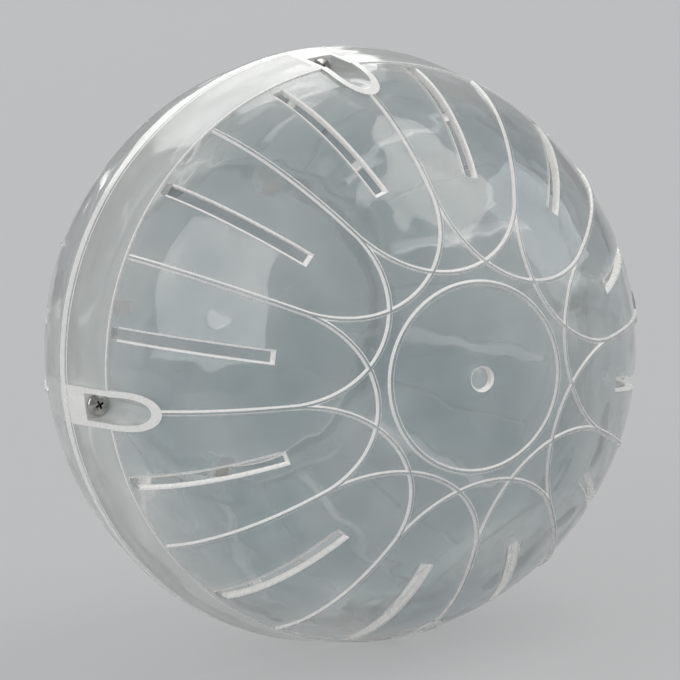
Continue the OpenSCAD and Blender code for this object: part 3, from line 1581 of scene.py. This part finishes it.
@dataclass(frozen=True)
class MouldFlow:
    """Shared effect of moulded plastic: cloudy haze that gathers at the seam, and a wavy skin."""

    seam_near: float = 13.0 * MM
    seam_far: float = 30.0 * MM

    def build(self) -> NodeTree:
        """Makes the group.

        Returns:
            The group, with outputs Haze, Wave, Scuff and Seam from 0 to 1.
        """
        tree = new_group(
            "mould_flow",
            {"Haze Scale": 45, "Wave Scale": 48, "Scuff Scale": 400},
            {"Haze": "Float", "Wave": "Float", "Scuff": "Float", "Seam": "Float"},
        )
        nodes = Nodes(tree)
        given = nodes.add("NodeGroupInput")
        result = nodes.add("NodeGroupOutput")
        place = nodes.add("ShaderNodeTexCoord").outputs["Object"]
        for label, detail, low, high in (
            ("Haze", 3, 0.3, 0.7),
            ("Wave", 1.5, 0.0, 1.0),
            ("Scuff", 4, 0.45, 0.75),
        ):
            value = nodes.noise(place, given.outputs[f"{label} Scale"], detail)
            nodes.join(nodes.span(value, low, high, 0, 1), result.inputs[label])
        split = nodes.add("ShaderNodeSeparateXYZ")
        nodes.join(place, split.inputs[0])
        depth = nodes.add("ShaderNodeMath", operation="ABSOLUTE")
        nodes.join(split.outputs["Y"], depth.inputs[0])
        seam = nodes.span(depth.outputs[0], self.seam_far, self.seam_near, 0, 1)
        nodes.join(seam, result.inputs["Seam"])
        return tree


@dataclass(frozen=True)
class Plastic:
    """A moulded plastic finish, from clear to milky."""

    name: str
    tint: tuple[float, float, float]
    haze: tuple[float, float, float]
    transmission: float
    roughness: float
    shadow: float
    bump: float = 2.0 * MM
    sheen: float = 0.3
    ior: float = 1.49
    # The most haze in a cloud and at the seam, and how much rougher a scuff is
    cloud_share: float = 0.8
    seam_share: float = 0.6
    scuff: float = 1.5

    def build(self, flow: NodeTree) -> Material:
        """Makes the material.

        Args:
            flow: The shared group of moulding effects.

        Returns:
            The material.
        """
        material, nodes, shader = new_material(self.name)
        effect = nodes.add("ShaderNodeGroup", node_tree=flow)
        set_inputs(
            shader,
            {
                "Transmission Weight": self.transmission,
                "IOR": self.ior,
                "Sheen Weight": self.sheen,
            },
        )
        share = nodes.add("ShaderNodeMath", operation="ADD", use_clamp=True)
        most = {"Haze": self.cloud_share, "Seam": self.seam_share}
        for number, label in enumerate(most):
            value = nodes.span(effect.outputs[label], 0, 1, 0, most[label])
            nodes.join(value, share.inputs[number])
        nodes.join(nodes.blend(share.outputs[0], self.tint, self.haze), shader.inputs["Base Color"])
        worn = self.scuff * self.roughness
        rough = nodes.span(effect.outputs["Scuff"], 0, 1, self.roughness, worn)
        nodes.join(rough, shader.inputs["Roughness"])
        bump = nodes.add("ShaderNodeBump")
        set_inputs(bump, {"Distance": self.bump, "Strength": 1})
        nodes.join(effect.outputs["Wave"], bump.inputs["Height"])
        nodes.join(bump.outputs["Normal"], shader.inputs["Normal"])
        # Light passes thin plastic, which a shadow ray through glass would not
        shade = nodes.add("ShaderNodeLightPath").outputs["Is Shadow Ray"]
        through = nodes.add("ShaderNodeBsdfTransparent")
        set_inputs(through, {"Color": (self.shadow, self.shadow, self.shadow, 1)})
        nodes.finish(nodes.mix(shade, shader.outputs[0], through.outputs[0]))
        return material


# The plastics, in the order of Look
PLASTICS = (
    Plastic(
        "clear_wall",
        tint=(0.58, 0.66, 0.69),
        haze=(0.90, 0.94, 0.94),
        transmission=0.79,
        roughness=0.05,
        shadow=0.92,
    ),
    Plastic(
        "milky_wall",
        tint=(0.80, 0.85, 0.86),
        haze=(0.88, 0.91, 0.91),
        transmission=0.66,
        roughness=0.10,
        shadow=0.90,
    ),
    # Near-white, nearly opaque plastic: a painted highlight on edges and sides, and the whitened
    # solid screw bosses
    Plastic(
        "painted_highlight_and_white_boss",
        tint=(0.98, 0.985, 0.985),
        haze=(0.96, 0.97, 0.97),
        transmission=0.12,
        roughness=0.25,
        shadow=0.90,
    ),
)


@dataclass(frozen=True)
class Nickel:
    """Bright nickel plate with patches of dirt and painted dark reflection."""

    name: str = "nickel_plate"
    colour: tuple[float, float, float] = (0.58, 0.57, 0.55)
    # Colour of the dark patches: dirt and a painted dark reflection
    grime_and_painted_reflection: tuple[float, float, float] = (0.12, 0.115, 0.11)
    # Roughness where it is clean and where the dark patches lie
    roughness: Point = (0.14, 0.35)

    def build(self, flow: NodeTree) -> Material:
        """Makes the material.

        Args:
            flow: The shared group, whose scuffs place the dirt and painted dark reflection here.

        Returns:
            The material.
        """
        material, nodes, shader = new_material(self.name)
        scuff = nodes.add("ShaderNodeGroup", node_tree=flow).outputs["Scuff"]
        set_inputs(shader, {"Metallic": 1})
        # The scuff noise darkens the plate in patches: dirt and a painted dark reflection
        nodes.join(nodes.blend(scuff, self.colour, self.grime_and_painted_reflection), shader.inputs["Base Color"])
        nodes.join(nodes.span(scuff, 0, 1, *self.roughness), shader.inputs["Roughness"])
        nodes.finish(shader.outputs[0])
        return material


@dataclass(frozen=True)
class Lamp:
    """A square soft lamp that faces the ball."""

    name: str
    place: tuple[float, float, float]
    size: float
    power: float
    colour: tuple[float, float, float]

    def hang(self) -> None:
        """Adds the lamp to the scene."""
        data = bpy.data.lights.new(self.name, "AREA")
        values = {"shape": "SQUARE", "size": self.size, "energy": self.power, "color": self.colour}
        set_all(data, values)
        lamp = bpy.data.objects.new(self.name, data)
        lamp.location = self.place
        lamp.rotation_euler = Vector(self.place).to_track_quat("Z", "Y").to_euler()
        bpy.context.scene.collection.objects.link(lamp)


@dataclass
class Studio:
    """Floor, lamps, world and camera."""

    floor_h: float
    floor_colour: tuple[float, float, float] = (0.50, 0.51, 0.52)
    floor_rough: float = 0.9
    # What the camera sees of the floor, and its share in that
    floor_look: tuple[float, float, float] = (0.52, 0.53, 0.54)
    floor_even: float = 0.5
    floor_r: float = 6.0
    floor_sides: int = 96
    # Each lamp's name, place, side, power in watts and colour
    lamps: tuple[Lamp, ...] = (
        Lamp("overhead", (1.0, -0.7, 1.7), 1.6, 19, (1, 0.96, 0.89)),
        Lamp("back", (0.4, 1.8, 1.3), 1.6, 17, (1, 0.99, 0.97)),
        Lamp("side", (2.1, -0.2, 0.8), 1.2, 6, (0.97, 0.98, 1)),
        Lamp("left", (-1.7, -0.3, 1.0), 1.8, 20, (1, 0.97, 0.93)),
    )
    world_colour: tuple[float, float, float] = (0.55, 0.57, 0.60)
    world_strength: float = 0.42
    # The camera's directions in the ball's frame, and its distances from the centre along them
    right: Vector = field(default_factory=lambda: Vector((0.8833, -0.4529, -0.1210)))
    up: Vector = field(default_factory=lambda: Vector((0.1872, 0.1042, 0.9768)))
    back: Vector = field(default_factory=lambda: Vector((-0.4298, -0.8855, 0.1768)))
    distance: float = 847.0 * MM
    rise: float = 1.2 * MM
    lens: float = 223.7
    sensor: float = 36.0

    def lay_floor(self) -> None:
        """Lays the paper that the ball stands on."""
        floor = start_piece(
            "floor",
            bpy.ops.mesh.primitive_circle_add,
            vertices=self.floor_sides,
            radius=self.floor_r,
            fill_type="NGON",
            location=(0, 0, self.floor_h),
        )
        material, nodes, shader = new_material("floor_paper")
        set_inputs(shader, {"Base Color": (*self.floor_colour, 1), "Roughness": self.floor_rough})
        # What the camera sees of the paper, also through the ball, is evener than its light
        plain = nodes.add("ShaderNodeEmission")
        set_inputs(plain, {"Color": (*self.floor_look, 1)})
        path = nodes.add("ShaderNodeLightPath")
        seen = path.outputs["Is Camera Ray"]
        for ray in ("Is Glossy Ray", "Is Transmission Ray"):
            either = nodes.add("ShaderNodeMath", operation="MAXIMUM")
            nodes.join(seen, either.inputs[0])
            nodes.join(path.outputs[ray], either.inputs[1])
            seen = either.outputs[0]
        even = nodes.span(seen, 0, 1, 0, self.floor_even)
        nodes.finish(nodes.mix(even, shader.outputs[0], plain.outputs[0]))
        floor.data.materials.append(material)
        floor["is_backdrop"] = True

    def light(self) -> None:
        """Hangs the lamps and lights the room."""
        for lamp in self.lamps:
            lamp.hang()
        world = bpy.data.worlds.new("room")
        world.use_nodes = True
        background = world.node_tree.nodes["Background"]
        colour = (*self.world_colour, 1)
        set_inputs(background, {"Color": colour, "Strength": self.world_strength})
        bpy.context.scene.world = world

    def aim(self) -> None:
        """Places the camera where the photograph was taken from."""
        data = bpy.data.cameras.new("camera")
        data.lens = self.lens
        data.sensor_width = self.sensor
        camera = bpy.data.objects.new("camera", data)
        turn = Matrix((self.right, self.up, self.back)).transposed().to_4x4()
        place = self.back * self.distance + self.up * self.rise
        camera.matrix_world = Matrix.Translation(place) @ turn
        bpy.context.scene.collection.objects.link(camera)
        bpy.context.scene.camera = camera

    def build(self) -> None:
        """Sets the stage round the ball."""
        self.lay_floor()
        self.light()
        self.aim()


@dataclass(frozen=True)
class Dressed:
    """One finished piece and what the frame needs to know of it."""

    piece: Object
    node: str
    body: str
    slot: str


def render_settings() -> None:
    """Gives light enough bounces to pass four walls of plastic."""
    scene = bpy.context.scene
    scene.view_settings.view_transform = "Standard"
    scene.cycles.max_bounces = 24
    scene.cycles.transmission_bounces = 20
    scene.cycles.glossy_bounces = 6
    scene.cycles.diffuse_bounces = 4
    scene.cycles.transparent_max_bounces = 32
    scene.cycles.caustics_reflective = False
    scene.cycles.caustics_refractive = False
    # The other patterns leave a dither in the lamps' reflections, which the denoiser keeps
    scene.cycles.sampling_pattern = "TABULATED_SOBOL"


def body_of_nodes(frame: dict) -> dict[str, str]:
    """The body that each node belongs to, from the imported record."""
    bodies = frame["record"]["behaviour"]["bodies"]
    return {node: body for body, nodes in bodies.items() for node in nodes}


def main() -> None:
    """Builds the ball's looks around the frame."""
    logging.basicConfig(level=logging.INFO, format="%(name)s: %(message)s")
    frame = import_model()
    low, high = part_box("front_shell")
    sizes = BallSizes(lip_r=(high.x - low.x) / 2)
    bodies = body_of_nodes(frame)

    flow = MouldFlow().build()
    plastics = [plastic.build(flow) for plastic in PLASTICS]
    # The cross recess is near-black nickel, a painted shade, with still darker patches
    recess = Nickel("recess", colour=(0.10, 0.10, 0.10), grime_and_painted_reflection=(0.04, 0.04, 0.04))
    metals = [Nickel().build(flow), recess.build(flow)]

    front = FrontDome(sizes)
    rear = RearDome(sizes)
    door = Door(sizes, rear)
    spheres = (sizes.shell_r, sizes.inner_r, sizes.ledge_in_r, sizes.ledge_out_r)
    dressed = []
    for maker, node, slot, pole in (
        (front, "front_shell", "clear_plastic", Pole.FRONT),
        (rear, "back_shell", "clear_plastic", Pole.REAR),
        (door, "door", "door_plastic", Pole.REAR),
    ):
        piece = maker.build()
        paint(piece, plastics, maker.finish_of)
        settle(piece, pole, spheres)
        dressed.append(Dressed(piece, node, bodies[node], slot))
    for node, piece in ScrewSet(sizes, metals).build().items():
        dressed.append(Dressed(piece, node, bodies[node], "nickel"))
    for item in dressed:
        log.info("%s: %d faces", item.piece.name, len(item.piece.data.polygons))
        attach(item.piece, item.body)
        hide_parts(item.node)

    Studio(floor_h=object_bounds()[0].z).build()
    render_settings()


if __name__ == "__main__":
    main()
